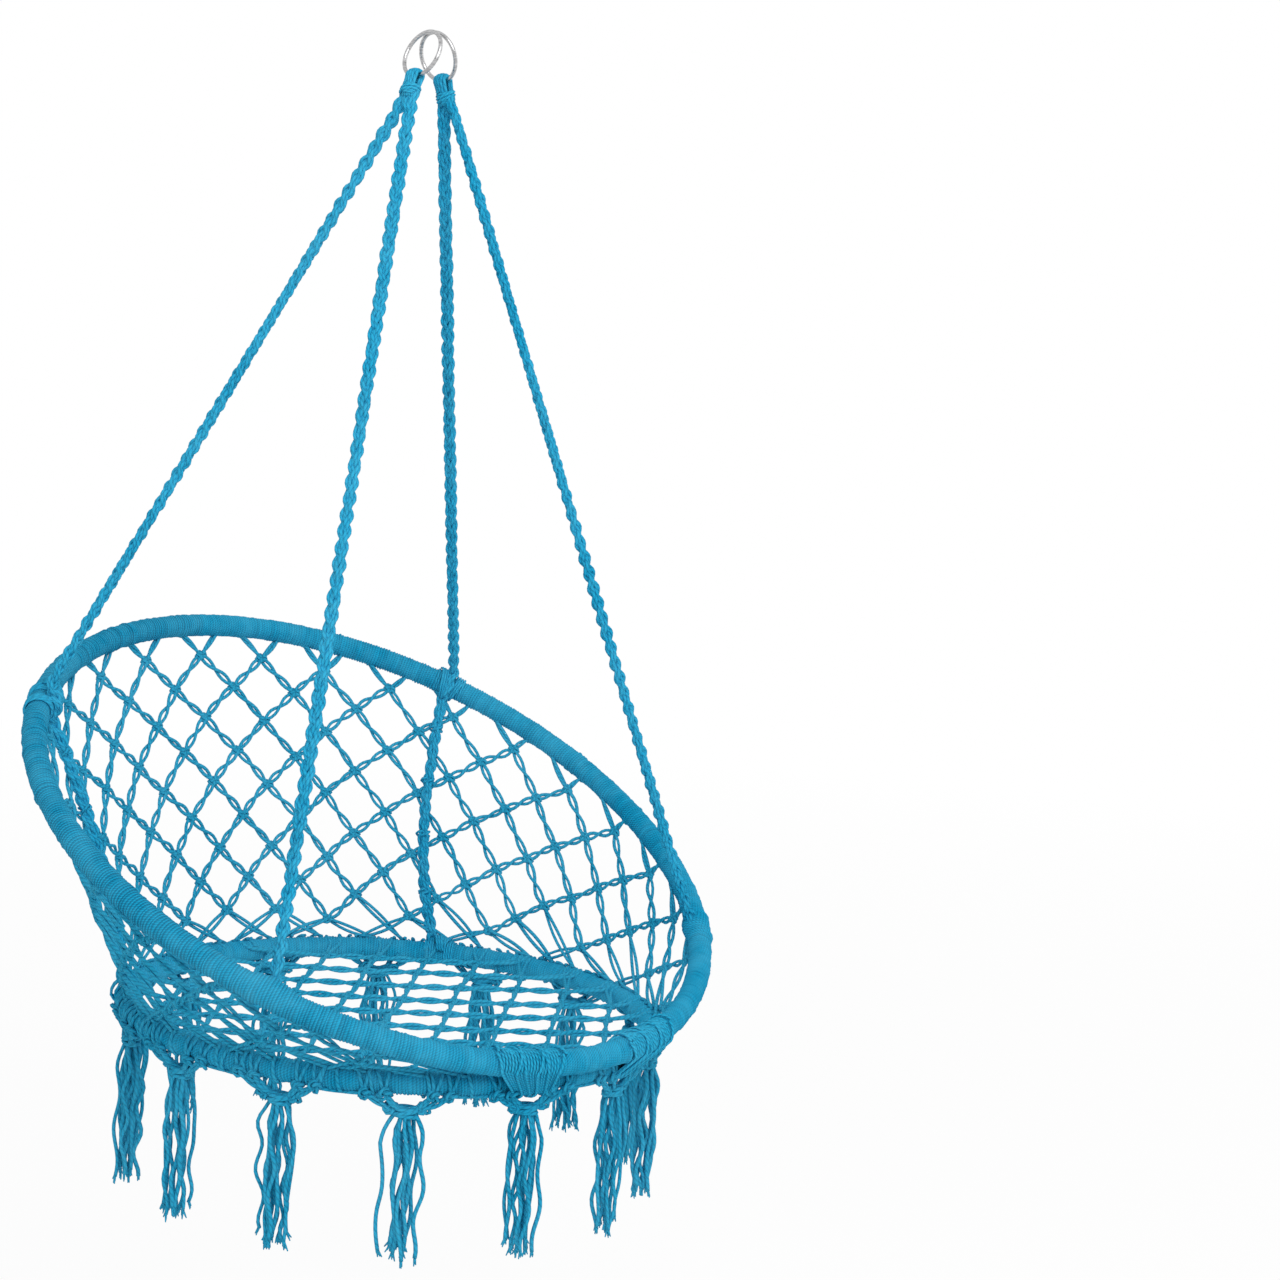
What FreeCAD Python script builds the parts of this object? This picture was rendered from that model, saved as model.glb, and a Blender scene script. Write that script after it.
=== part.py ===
import FreeCAD, Part

import math
import os

# A round chair of cord on two hoops, hung from two steel rings. Lengths are millimetres and
# angles are degrees. +Z is up and the chair faces -Y. The origin is where the hook bears.

SIZES = [
    # The two hoops: a bent steel tube, covered by cord wound round it side by side.
    ("backHoopRadius", 381),
    ("backHoopTilt", 27),
    ("backTubeRadius", 9.8),
    ("seatHoopRadius", 279),
    ("seatTubeRadius", 8.8),
    ("tubeWall", 1.5),
    ("windingThickness", 3),
    ("hoopJoinAngle", 49),
    # How the chair hangs below the hook.
    ("hangHeight", 1034),
    ("hangOffset", 60),
    ("hangPitch", 1.757),
    # The rings, and the rope's fold over each.
    ("ringRadius", 25.6),
    ("ringWire", 2.2),
    ("ringGap", 2.4),
    ("ringLean", 19.5),
    ("eyeRopeRadius", 3.7),
    ("eyeGap", 0.9),
    ("whippingThickness", 0.9),
    ("whippingHeight", 22),
    ("whippingDrop", 11),
    # The ropes.
    ("ropeRadius", 6.2),
    ("ropeGap", 0.8),
    ("backRopeAngle", 50),
    ("frontRopeAngle", 126.5),
    ("seatHitchAngle", 60),
    ("hitchThickness", 6.2),
    ("hitchWidth", 44),
    ("lowerRopeInset", 11),
    ("lashingWidth", 34),
    ("backLashingReach", 85),
    ("seatLashingReach", 62),
    # The nets.
    ("columnCount", 28),
    ("firstRow", 35),
    ("rowPitch", 37),
    ("netCordRadius", 2.7),
    ("netKnotRadius", 6),
    ("topCordSpread", 0.28),
    ("rimCordSpread", 0.9),
    ("middlePanelReach", 1),
    ("panelColumns", 2),
    ("panelsEachSide", 5),
    ("seatCellHalfWidth", 46),
    ("seatCellHalfDepth", 37),
    ("seatCordRadius", 1.9),
    ("seatKnotRadius", 4.5),
    # The tassels.
    ("tasselCount", 14),
    ("tasselGap", 1.5),
    ("tasselHeadRadius", 9.5),
    ("tasselLength", 152),
    ("tasselCordRadius", 1.6),
    ("tasselCordPitch", 5.2),
    ("hangerSpread", 9.5),
    ("hangerRadius", 3.4),
    # Clearances.
    ("bedding", 0.2),
    ("swingGap", 0.3),
]

doc = FreeCAD.newDocument("nest_swing")
sheet = doc.addObject("Spreadsheet::Sheet", "sizes")
for row, (alias, number) in enumerate(SIZES, 1):
    sheet.set(f"A{row}", alias)
    sheet.set(f"B{row}", str(number))
    sheet.setAlias(f"B{row}", alias)
doc.recompute()

Vector = FreeCAD.Vector
UP = Vector(0, 0, 1)
SIDES = {"left": -1, "right": 1}
# A cutting tool, and a piece that is then trimmed, run this far past what they meet.
OVERRUN = 5
# A bend starts and ends this share of its shorter run from its corner.
BEND_SHARE = 0.45
parts = []


def size(alias):
    """A number from the sheet."""
    return float(sheet.get(alias))


def add(kind, name, sizes, placement=None):
    """An object whose sizes follow expressions on the sheet."""
    made = doc.addObject(kind, name)
    for key, expression in sizes.items():
        made.setExpression(key, expression)
    if placement:
        made.Placement = placement
    return made


def combine(kind, name, pieces):
    """A cut, or a fusion, of other objects."""
    made = doc.addObject(kind, name)
    if kind == "Part::Cut":
        made.Base, made.Tool = pieces
    else:
        made.Shapes = pieces
    return made


def fixed_shape(name, shape, placement=None):
    """An object for a shape that no primitive makes."""
    made = doc.addObject("Part::Feature", name)
    made.Shape = shape
    if placement:
        made.Placement = placement
    return made


def keep(made, label):
    """Marks an object as a finished sub-part."""
    made.Label = label
    parts.append(made)
    return made


def frame_at(origin, across, along):
    """A placement whose X is across and whose Z is along."""
    side = along.cross(across).normalize()
    turned = FreeCAD.Rotation(across, side, along, "ZXY")
    return FreeCAD.Placement(origin, turned)


def aim(start, end):
    """A placement at start whose Z points at end."""
    return FreeCAD.Placement(start, FreeCAD.Rotation(UP, end - start))


# The basket's own frame has its origin at the seat hoop's centre, with the seat hoop level.
# It is tipped about the hook until the chair hangs in balance.
tip = FreeCAD.Rotation(Vector(1, 0, 0), size("hangPitch"))
basket = FreeCAD.Placement(tip.multVec(Vector(0, -size("hangOffset"), -size("hangHeight"))), tip)

COVERS = {
    "back": "(sizes.backTubeRadius + sizes.windingThickness)",
    "seat": "(sizes.seatTubeRadius + sizes.windingThickness)",
}
backCover = size("backTubeRadius") + size("windingThickness")
seatCover = size("seatTubeRadius") + size("windingThickness")

# The back hoop rises from the seat hoop's front, where the two lie against each other.
tilt = math.radians(size("backHoopTilt"))
join = math.radians(size("hoopJoinAngle"))
reach = backCover + seatCover + size("swingGap")
seatFront = Vector(0, -size("seatHoopRadius"), 0)
backFront = seatFront + Vector(0, -math.cos(join), math.sin(join)) * reach
backCentre = backFront + Vector(0, math.cos(tilt), math.sin(tilt)) * size("backHoopRadius")
HOOP_FRAMES = {
    "back": basket
    * FreeCAD.Placement(backCentre, FreeCAD.Rotation(Vector(1, 0, 0), size("backHoopTilt"))),
    "seat": basket,
}


def on_back_hoop(angle):
    """A point of the back hoop's centreline. The angle is from the back, towards +X."""
    turn = math.radians(angle)
    flat = Vector(0, math.cos(tilt), math.sin(tilt)) * math.cos(turn)
    return backCentre + (flat + Vector(math.sin(turn), 0, 0)) * size("backHoopRadius")


def on_seat_hoop(angle):
    """A point of the seat hoop's centreline, with the angle as on the back hoop."""
    turn = math.radians(angle)
    return Vector(math.sin(turn), math.cos(turn), 0) * size("seatHoopRadius")


ON_HOOP = {"back": on_back_hoop, "seat": on_seat_hoop}


def gap_at(angle):
    """The distance between the two hoops."""
    return (on_seat_hoop(angle) - on_back_hoop(angle)).Length


def on_back_net(angle, drop):
    """A point between the two hoops, a given distance below the back hoop."""
    top = on_back_hoop(angle)
    return top + (on_seat_hoop(angle) - top) * (drop / gap_at(angle))


def hoops():
    """The two tubes, each with its winding of cord."""
    for name, place in HOOP_FRAMES.items():
        centreline = f"sizes.{name}HoopRadius"
        tube = f"sizes.{name}TubeRadius"
        rings = {}
        for part, radius in (
            ("bore", f"{tube} - sizes.tubeWall"),
            ("steel", tube),
            ("lining", f"{tube} + sizes.bedding"),
            ("surface", COVERS[name]),
        ):
            rings[part] = add(
                "Part::Torus", f"{name}_{part}", {"Radius1": centreline, "Radius2": radius}, place
            )
        keep(
            combine("Part::Cut", f"{name}_tube", (rings["steel"], rings["bore"])),
            f"{name}_hoop_tube",
        )
        keep(
            combine("Part::Cut", f"{name}_winding", (rings["surface"], rings["lining"])),
            f"{name}_hoop_winding",
        )


def clear_of_hoop(name, label):
    """A tool the size of a covered hoop with its clearance."""
    return add(
        "Part::Torus",
        label,
        {"Radius1": f"sizes.{name}HoopRadius", "Radius2": f"{COVERS[name]} + sizes.bedding"},
        HOOP_FRAMES[name],
    )


def hoop_shape(name):
    """The same tool as a plain shape, in the basket's frame."""
    cover = {"back": backCover, "seat": seatCover}[name]
    ring = Part.makeTorus(size(f"{name}HoopRadius"), cover + size("bedding"))
    ring.Placement = basket.inverse() * HOOP_FRAMES[name]
    return ring


def turns_on(hoop, angle, label, radius, width, grow=0):
    """A plain cylinder round a hoop. Its radius is an expression and its width an alias."""
    here = basket.multVec(ON_HOOP[hoop](angle))
    along = (basket.multVec(ON_HOOP[hoop](angle + 1)) - here).normalize()
    foot = here - along * (size(width) / 2 + grow)
    sizes = {"Radius": f"{radius} + {grow}", "Height": f"sizes.{width} + 2 * {grow}"}
    return add("Part::Cylinder", label, sizes, aim(foot, foot + along))


def hitch(label, hoop, angle):
    """The turns that tie a rope to a hoop."""
    radius = f"{COVERS[hoop]} + sizes.hitchThickness"
    turns = turns_on(hoop, angle, f"{label}_turns", radius, "hitchWidth")
    bored = combine("Part::Cut", f"{label}_bored", (turns, clear_of_hoop(hoop, f"{label}_hoop")))
    keep(bored, label)


def space_on(hoop, angle, thickness, width):
    """A plain tool, in the basket's frame, that clears what is tied round a hoop."""
    here = ON_HOOP[hoop](angle)
    along = (ON_HOOP[hoop](angle + 1) - here).normalize()
    half = size(width) / 2 + size("bedding")
    cover = {"back": backCover, "seat": seatCover}[hoop]
    radius = cover + size(thickness) + size("bedding")
    return Part.makeCylinder(radius, 2 * half, here - along * half, along)


def hitch_space(hoop, angle):
    """The space of a hitch."""
    return space_on(hoop, angle, "hitchThickness", "hitchWidth")


# The rings lean apart, so each side's pair of ropes pulls straight through its own ring.
lean = math.radians(size("ringLean"))
bore = size("ringRadius") - size("ringWire")
ringStep = size("ringWire") + size("ringGap") / 2
eyeBend = size("ringWire") + size("eyeGap") + size("eyeRopeRadius")
EYE_BEND = "(sizes.ringWire + sizes.eyeGap + sizes.eyeRopeRadius)"
WHIPPING_RADIUS = f"({EYE_BEND} + sizes.eyeRopeRadius + sizes.whippingThickness)"
ROPES = {
    "front_left": (-1, -1, "frontRopeAngle"),
    "front_right": (1, -1, "frontRopeAngle"),
    "back_left": (-1, 1, "backRopeAngle"),
    "back_right": (1, 1, "backRopeAngle"),
}


def pull(side):
    """The direction in which a side's ropes leave the hook."""
    return Vector(side * math.sin(lean), 0, -math.cos(lean))


def below_hook(side, distance):
    """A point on the line of a side's pull."""
    return Vector(side * ringStep, 0, 0) + pull(side) * distance


def hanging(name, side):
    """A ring, the rope's fold over it, and the whipping that holds the fold shut."""
    ring = add(
        "Part::Torus",
        f"ring_{name}",
        {"Radius1": "sizes.ringRadius", "Radius2": "sizes.ringWire"},
        frame_at(below_hook(side, bore), Vector(0, 1, 0), pull(side).cross(Vector(0, 1, 0))),
    )
    keep(ring, f"hanging_ring_{name}")

    seat = below_hook(side, bore + size("ringRadius"))
    across = Vector(0, 1, 0).cross(pull(side))
    bend = add(
        "Part::Torus",
        f"bend_{name}",
        {"Radius1": EYE_BEND, "Radius2": "sizes.eyeRopeRadius", "Angle3": "180"},
        frame_at(seat, across, across.cross(pull(side) * -1)),
    )
    folded, bores = [bend], []
    for leg, step in (("inner", -1), ("outer", 1)):
        foot = seat + across * (step * eyeBend)
        length = "sizes.whippingDrop + sizes.whippingHeight"
        for kind, pieces, grow, extra in (
            ("leg", folded, "0", 0),
            ("leg_bore", bores, "sizes.bedding", OVERRUN),
        ):
            pieces.append(
                add(
                    "Part::Cylinder",
                    f"{kind}_{leg}_{name}",
                    {
                        "Radius": f"sizes.eyeRopeRadius + {grow}",
                        "Height": f"{length} + {extra}",
                    },
                    aim(foot, foot + pull(side)),
                )
            )
    keep(combine("Part::MultiFuse", f"eye_{name}", folded), f"rope_eye_{name}")

    top = seat + pull(side) * size("whippingDrop")
    sleeve = add(
        "Part::Cylinder",
        f"sleeve_{name}",
        {"Radius": WHIPPING_RADIUS, "Height": "sizes.whippingHeight"},
        aim(top, top + pull(side)),
    )
    both = combine("Part::MultiFuse", f"leg_bores_{name}", bores)
    keep(combine("Part::Cut", f"whipping_{name}", (sleeve, both)), f"whipping_{name}")


def ropes():
    """The four taut ropes, each with the hitch that ties it to the back hoop."""
    for name, (side, end, alias) in ROPES.items():
        angle = side * size(alias)
        hitch(f"hitch_{name}", "back", angle)
        envelope = turns_on(
            "back",
            angle,
            f"hitch_space_{name}",
            f"{COVERS['back']} + sizes.hitchThickness",
            "hitchWidth",
            size("bedding"),
        )

        # The rope starts inside the whipping, which trims it, and runs to the hoop's centre.
        tied = basket.multVec(on_back_hoop(angle))
        beside = Vector(0, end * (size("ropeRadius") + size("ropeGap") / 2), 0)
        held = size("whippingDrop") + size("whippingHeight")
        start = below_hook(side, bore + size("ringRadius") + held) + beside
        early = start - (tied - start).normalize() * OVERRUN
        strand = add(
            "Part::Cylinder",
            f"strand_{name}",
            {"Radius": "sizes.ropeRadius"},
            aim(early, tied),
        )
        strand.Height = (tied - early).Length
        top = below_hook(side, bore + size("ringRadius"))
        plug = add(
            "Part::Cylinder",
            f"plug_{name}",
            {
                "Radius": f"{WHIPPING_RADIUS} + 2 * sizes.ropeRadius",
                "Height": "sizes.whippingDrop + sizes.whippingHeight + sizes.bedding",
            },
            aim(top, top + pull(side)),
        )
        trims = combine("Part::MultiFuse", f"trims_{name}", [plug, envelope])
        keep(combine("Part::Cut", f"rope_{name}", (strand, trims)), f"rope_{name}")


def bent_path(points):
    """Straight runs joined by tangent arcs, each as large as its two runs allow."""
    edges, last = [], points[0]
    for before, corner, after in zip(points, points[1:], points[2:]):
        into = (corner - before).normalize()
        away = (after - corner).normalize()
        turn = into.getAngle(away)
        cut = BEND_SHARE * min((corner - before).Length, (after - corner).Length)
        first, final = corner - into * cut, corner + away * cut
        rise = cut * math.tan(turn / 4)
        middle = (first + final) * 0.5 + (away - into).normalize() * (-rise)
        edges.append(Part.LineSegment(last, first).toShape())
        edges.append(Part.Arc(first, middle, final).toShape())
        last = final
    edges.append(Part.LineSegment(last, points[-1]).toShape())
    return Part.Wire(edges)


def tube_along(path, radius):
    """A round tube along a wire."""
    start = path.Edges[0]
    lead = start.tangentAt(start.FirstParameter)
    ring = Part.Wire([Part.makeCircle(radius, start.valueAt(start.FirstParameter), lead)])
    return path.makePipeShell([ring], True, False)


# The back ropes run on through the net to the seat hoop: degrees round, share of the drop.
LOWER_ROPE = [(47, 0.25), (45, 0.5), (48, 0.75)]


def lower_path(side):
    """The middle of a lower rope, just inside the back net."""
    points = [on_back_hoop(side * size("backRopeAngle"))]
    for angle, share in LOWER_ROPE:
        spot = on_back_net(side * angle, share * gap_at(angle))
        inward = Vector(-spot.x, -spot.y, 0).normalize()
        points.append(spot + inward * size("lowerRopeInset"))
    points.append(on_seat_hoop(side * size("seatHitchAngle")))
    return bent_path(points)


def lower_ropes():
    """The back ropes' lower runs, each with its hitch on the seat hoop."""
    for name, side in SIDES.items():
        path = lower_path(side)
        run = tube_along(path, size("ropeRadius"))
        section = math.pi * size("ropeRadius") ** 2
        arcs = [edge.Curve for edge in path.Edges if edge.Curve.TypeId == "Part::GeomCircle"]
        print("lower rope bend radii", [round(arc.Radius, 1) for arc in arcs])
        print("lower rope volume against its section", round(run.Volume / section / path.Length, 4))
        ends = [
            hitch_space("back", side * size("backRopeAngle")),
            hitch_space("seat", side * size("seatHitchAngle")),
        ]
        keep(
            fixed_shape(f"lower_rope_{name}", run.cut(ends), basket), f"rope_back_lower_{name}"
        )
        hitch(f"seat_hitch_{name}", "seat", side * size("seatHitchAngle"))


def lashing_angle(hoop, side):
    """Where a front lashing lies on a hoop, from how far it is out from the middle."""
    reach = size(f"{hoop}LashingReach") / size(f"{hoop}HoopRadius")
    return 180 - side * math.degrees(math.asin(reach))


def lashing_space(hoop, side):
    """The space of a front lashing on a hoop."""
    return space_on(hoop, lashing_angle(hoop, side), "windingThickness", "lashingWidth")


def lashings():
    """A figure-of-eight lashing on each side of the front, round both hoops."""
    for name, side in SIDES.items():
        turns = [
            turns_on(
                hoop,
                lashing_angle(hoop, side),
                f"{hoop}_lashing_turns_{name}",
                f"{COVERS[hoop]} + sizes.windingThickness",
                "lashingWidth",
            )
            for hoop in ON_HOOP
        ]
        both = combine("Part::MultiFuse", f"lashing_turns_{name}", turns)
        tubes = combine(
            "Part::MultiFuse",
            f"hoops_in_lashing_{name}",
            [clear_of_hoop(hoop, f"{hoop}_hoop_in_lashing_{name}") for hoop in ON_HOOP],
        )
        keep(combine("Part::Cut", f"lashing_{name}", (both, tubes)), f"front_lashing_{name}")


def net_shape(knots, cords, knotRadius, cordRadius):
    """Balls at the knots, joined by straight cords, as one solid.

    Each ball's poles and seam face away from its cords.
    """
    pieces = []
    for knot, across, outward in knots:
        ball = Part.makeSphere(knotRadius)
        ball.Placement = frame_at(knot, across, outward)
        pieces.append(ball)
    for start, end in cords:
        pieces.append(Part.makeCylinder(cordRadius, (end - start).Length, start, end - start))
    return pieces[0].multiFuse(pieces[1:])


def trimmed(net):
    """A net without what lies in the hoops, the hitches and the lower ropes."""
    return max(net.cut(net_trims()).Solids, key=lambda solid: solid.Volume)


def net_trims():
    """What a net's cords stop at: both hoops, every hitch, the lashings and the lower ropes."""
    trims = [hoop_shape("back"), hoop_shape("seat")]
    for side in SIDES.values():
        trims += [lashing_space(hoop, side) for hoop in ON_HOOP]
        trims.append(tube_along(lower_path(side), size("ropeRadius") + size("bedding")))
        trims.append(hitch_space("back", side * size("backRopeAngle")))
        trims.append(hitch_space("back", side * size("frontRopeAngle")))
        trims.append(hitch_space("seat", side * size("seatHitchAngle")))
    return trims


def panel_of(column):
    """The back net's panel that a column belongs to, counted from the middle to each side."""
    number = math.ceil((abs(column) - size("middlePanelReach")) / size("panelColumns"))
    return int(math.copysign(min(number, size("panelsEachSide")), column))


def back_net():
    """The diamond net from the back hoop down to the seat hoop, in upright panels."""
    step = 360 / size("columnCount")
    shortest = seatCover + 2 * size("netKnotRadius") + size("swingGap")

    def drop_of(row):
        return size("firstRow") + row * size("rowPitch")

    def has_knot(column, row):
        return drop_of(row) < gap_at(column * step) - shortest

    panels = {}
    last = int(size("columnCount") / 2)
    for half in range(-2 * last, 2 * last + 1):
        column, row = half / 2, half % 2
        while has_knot(column, row):
            angle = column * step
            here = on_back_net(angle, drop_of(row))
            own = panel_of(column)
            knots, cords = panels.setdefault(own, ([], []))
            round_way = (on_back_hoop(angle + 1) - on_back_hoop(angle)).normalize()
            down_way = on_seat_hoop(angle) - on_back_hoop(angle)
            outward = round_way.cross(down_way).normalize()
            knots.append((here, down_way.cross(outward).normalize(), outward))
            if row == 0:
                for way in (-1, 1):
                    spread = column + way * size("topCordSpread")
                    cords.append((here, on_back_hoop(spread * step)))
            for way in (-0.5, 0.5):
                if has_knot(column + way, row + 1):
                    end = on_back_net((column + way) * step, drop_of(row + 1))
                    if panel_of(column + way) != own:
                        short = size("netKnotRadius") + size("bedding")
                        end = end - (end - here).normalize() * short
                else:
                    left = (gap_at(column * step) - drop_of(row)) / size("rowPitch")
                    spread = column + way * min(left, size("rimCordSpread"))
                    end = on_seat_hoop(spread * step)
                cords.append((here, end))
            row += 2
    for index, (knots, cords) in sorted(panels.items()):
        shape = net_shape(knots, cords, size("netKnotRadius"), size("netCordRadius"))
        side = "left" if index < 0 else "right"
        label = f"back_net_{side}_{abs(index)}" if index else "back_net_centre"
        keep(fixed_shape(f"{label}_panel", trimmed(shape), basket), label)


def seat_net():
    """The wide diamond net across the seat hoop."""
    width, depth = size("seatCellHalfWidth"), size("seatCellHalfDepth")
    inside = size("seatHoopRadius") - seatCover - size("seatKnotRadius") - size("swingGap")
    rows = int(inside / depth)
    columns = int(inside / width) + 1
    knots = {}
    for row in range(-rows, rows + 1):
        for column in range(-columns, columns + 1):
            spot = Vector((column + row % 2 * 0.5) * 2 * width, row * depth, 0)
            if spot.Length < inside:
                knots[2 * column + row % 2, row] = spot
    cords = []
    for (column, row), here in knots.items():
        for across in (-1, 1):
            for up in (-1, 1):
                neighbour = knots.get((column + across, row + up))
                if neighbour is None:
                    way = Vector(across * width, up * depth, 0)
                    cords.append((here, here + way * reach_rim(here, way)))
                elif up > 0:
                    cords.append((here, neighbour))
    balls = [(spot, Vector(0, 1, 0), UP) for spot in knots.values()]
    shape = net_shape(balls, cords, size("seatKnotRadius"), size("seatCordRadius"))
    keep(fixed_shape("seat_net_cords", trimmed(shape), basket), "seat_net")


def reach_rim(here, way):
    """How many times a step goes into the distance from a point to the seat hoop."""
    slope = here.dot(way) / way.dot(way)
    left = (size("seatHoopRadius") ** 2 - here.dot(here)) / way.dot(way)
    return math.sqrt(slope * slope + left) - slope


def tassels():
    """The tassels, which hang straight down, and the cords that carry them."""
    step = 360 / size("tasselCount")
    # One cord in the middle, six round it, and six more outside the gaps between those.
    plan = [Vector(0, 0, 0)]
    for spread, first in ((1, 0), (math.sqrt(3), 30)):
        for turn in range(first, first + 360, 60):
            way = Vector(math.cos(math.radians(turn)), math.sin(math.radians(turn)), 0)
            plan.append(way * (spread * size("tasselCordPitch")))
    head = add("Part::Sphere", "tassel_head", {"Radius": "sizes.tasselHeadRadius"})
    cords = []
    for number, spot in enumerate(plan):
        cords.append(
            add(
                "Part::Cylinder",
                f"tassel_cord_{number}",
                {"Radius": "sizes.tasselCordRadius", "Height": "sizes.tasselLength"},
                aim(spot, spot - UP),
            )
        )
    pattern = combine("Part::MultiFuse", "tassel_pattern", [head] + cords)
    doc.recompute()
    arms, trims = [], net_trims()
    drop = seatCover + size("hitchThickness") + size("tasselHeadRadius") + size("tasselGap")
    for number in range(int(size("tasselCount"))):
        angle = 180 - (number + 0.5) * step
        centre = on_seat_hoop(angle) - UP * drop
        turned = FreeCAD.Rotation(UP, -angle)
        place = FreeCAD.Placement(basket.multVec(centre), turned)
        keep(
            fixed_shape(f"tassel_{number + 1}", pattern.Shape.copy(), place),
            f"tassel_{number + 1:02d}",
        )
        space = Part.makeSphere(size("tasselHeadRadius") + size("swingGap"), centre)
        for way in (-1, 1):
            top = on_seat_hoop(angle + way * size("hangerSpread"))
            arm = Part.makeCylinder(size("hangerRadius"), (centre - top).Length, top, centre - top)
            arms.append(arm.cut([space] + trims))
    keep(fixed_shape("hangers", Part.makeCompound(arms), basket), "tassel_hangers")


hoops()
for sideName, sideSign in SIDES.items():
    hanging(sideName, sideSign)
ropes()
lower_ropes()
lashings()
back_net()
seat_net()
tassels()
doc.recompute()

for made in doc.Objects:
    if "Invalid" in made.State or "Error" in made.State:
        raise RuntimeError(f"{made.Label} failed: {made.State}")
for made in parts:
    if made.Shape.isNull() or not made.Shape.isValid():
        raise RuntimeError(f"{made.Label} has no valid shape")
os.makedirs("parts", exist_ok=True)
for made in parts:
    made.Shape.exportStep(f"parts/{made.Label}.step")
    print(made.Label, len(made.Shape.Solids), round(made.Shape.Volume))
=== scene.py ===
import math
import random

import bpy
import numpy as np
from mathutils import Matrix, Vector


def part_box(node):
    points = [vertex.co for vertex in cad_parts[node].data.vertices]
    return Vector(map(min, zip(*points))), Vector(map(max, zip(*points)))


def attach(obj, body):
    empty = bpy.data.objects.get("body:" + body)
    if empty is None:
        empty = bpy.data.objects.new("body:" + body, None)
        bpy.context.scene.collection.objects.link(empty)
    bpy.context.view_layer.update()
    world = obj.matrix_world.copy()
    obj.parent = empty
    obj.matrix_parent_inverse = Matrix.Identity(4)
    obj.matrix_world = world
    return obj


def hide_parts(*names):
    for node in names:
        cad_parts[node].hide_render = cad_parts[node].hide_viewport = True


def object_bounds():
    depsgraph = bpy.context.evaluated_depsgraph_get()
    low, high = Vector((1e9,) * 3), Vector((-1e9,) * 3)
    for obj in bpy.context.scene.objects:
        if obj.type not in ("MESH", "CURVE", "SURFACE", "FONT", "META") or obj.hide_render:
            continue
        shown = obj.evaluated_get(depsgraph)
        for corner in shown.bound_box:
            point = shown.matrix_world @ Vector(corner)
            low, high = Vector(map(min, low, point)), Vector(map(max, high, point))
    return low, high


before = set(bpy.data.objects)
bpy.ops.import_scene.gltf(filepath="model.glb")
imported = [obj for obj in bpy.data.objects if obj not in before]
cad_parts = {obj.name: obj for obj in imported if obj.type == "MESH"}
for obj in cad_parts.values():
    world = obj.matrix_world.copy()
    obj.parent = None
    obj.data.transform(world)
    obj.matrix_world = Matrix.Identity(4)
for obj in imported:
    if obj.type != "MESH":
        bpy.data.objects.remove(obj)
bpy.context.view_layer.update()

# A round chair of knotted cord on two hoops, hung from two steel rings. Metres, +Z up, facing -Y.
sides = {"left": -1, "right": 1}
up = np.array([0.0, 0.0, 1.0])
covers = {"back": 0.0128, "seat": 0.0118}  # half the thickness of each wound hoop
hanging = {"lean": math.radians(19.5), "whippingMiddle": 0.071}
tieAngles = {"front": 126.5, "back": 50.0, "seat": 53.0}  # round the hoops, from the back


def unit(vector):
    vector = np.asarray(vector, float)
    return vector / np.linalg.norm(vector, axis=-1, keepdims=True)


def boxCentre(node):
    low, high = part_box(node)
    return np.array((low + high) / 2)


def hoopFrom(node, cover):
    # A covered hoop's box gives its centre, its radius and how far it is tilted.
    low, high = (np.array(corner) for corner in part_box(node))
    half = (high - low) / 2 - cover
    return {
        "centre": (low + high) / 2,
        "radius": half[0],
        "cover": cover,
        "tilt": math.atan2(half[2], half[1]),
    }


hoops = {name: hoopFrom(f"{name}_hoop_winding", cover) for name, cover in covers.items()}


def onHoop(name, angle, out=0.0, turn=0.0):
    # angle runs from the back towards +X; turn goes round the tube, 0 outwards and 90 upwards.
    hoop = hoops[name]
    angle, turn = np.radians(angle), np.radians(turn)
    lean = hoop["tilt"]
    outward = np.stack(
        [np.sin(angle), np.cos(angle) * math.cos(lean), np.cos(angle) * math.sin(lean)], -1
    )
    normal = np.array([0.0, -math.sin(lean), math.cos(lean)])
    reach = hoop["radius"] + out * np.cos(turn)
    lift = out * np.sin(turn)
    return hoop["centre"] + outward * np.expand_dims(reach, -1) + normal * np.expand_dims(lift, -1)


def hoopDegrees(hoop, length):
    return np.degrees(length / hoops[hoop]["radius"])


def gapAt(angle):
    return float(np.linalg.norm(onHoop("back", angle) - onHoop("seat", angle)))


def onNet(angle, drop):
    # A point of the back net, a given distance below the back hoop.
    top = onHoop("back", angle)
    return top + (onHoop("seat", angle) - top) * (drop / gapAt(angle))


def pull(side):
    # The way in which a side's ropes hang from its ring.
    return np.array([side * math.sin(hanging["lean"]), 0.0, -math.cos(hanging["lean"])])


def belowHook(side, distance):
    # A point on the line of that pull, measured down from the hook.
    name = "left" if side < 0 else "right"
    return boxCentre(f"whipping_{name}") + pull(side) * (distance - hanging["whippingMiddle"])


def newWork():
    # What one piece gathers, cord by cord.
    return {"points": [], "faces": [], "uvs": [], "count": 0}


def smooth(points, rounds=3):
    # Cuts the corners of a given route until it is one even curve.
    line = np.asarray(points, float)
    for _ in range(rounds):
        first, second = line[:-1], line[1:]
        cut = np.empty((2 * len(first), 3))
        cut[0::2] = first * 0.75 + second * 0.25
        cut[1::2] = first * 0.25 + second * 0.75
        line = np.vstack([line[:1], cut, line[-1:]])
    return line


def evenly(line, step):
    # The same line with its points a step apart.
    line = np.asarray(line, float)
    run = np.concatenate([[0], np.cumsum(np.linalg.norm(np.diff(line, axis=0), axis=1))])
    count = max(3, int(round(run[-1] / step)) + 1)
    at = np.linspace(0, run[-1], count)
    return np.stack([np.interp(at, run, line[:, k]) for k in range(3)], 1)


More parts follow.
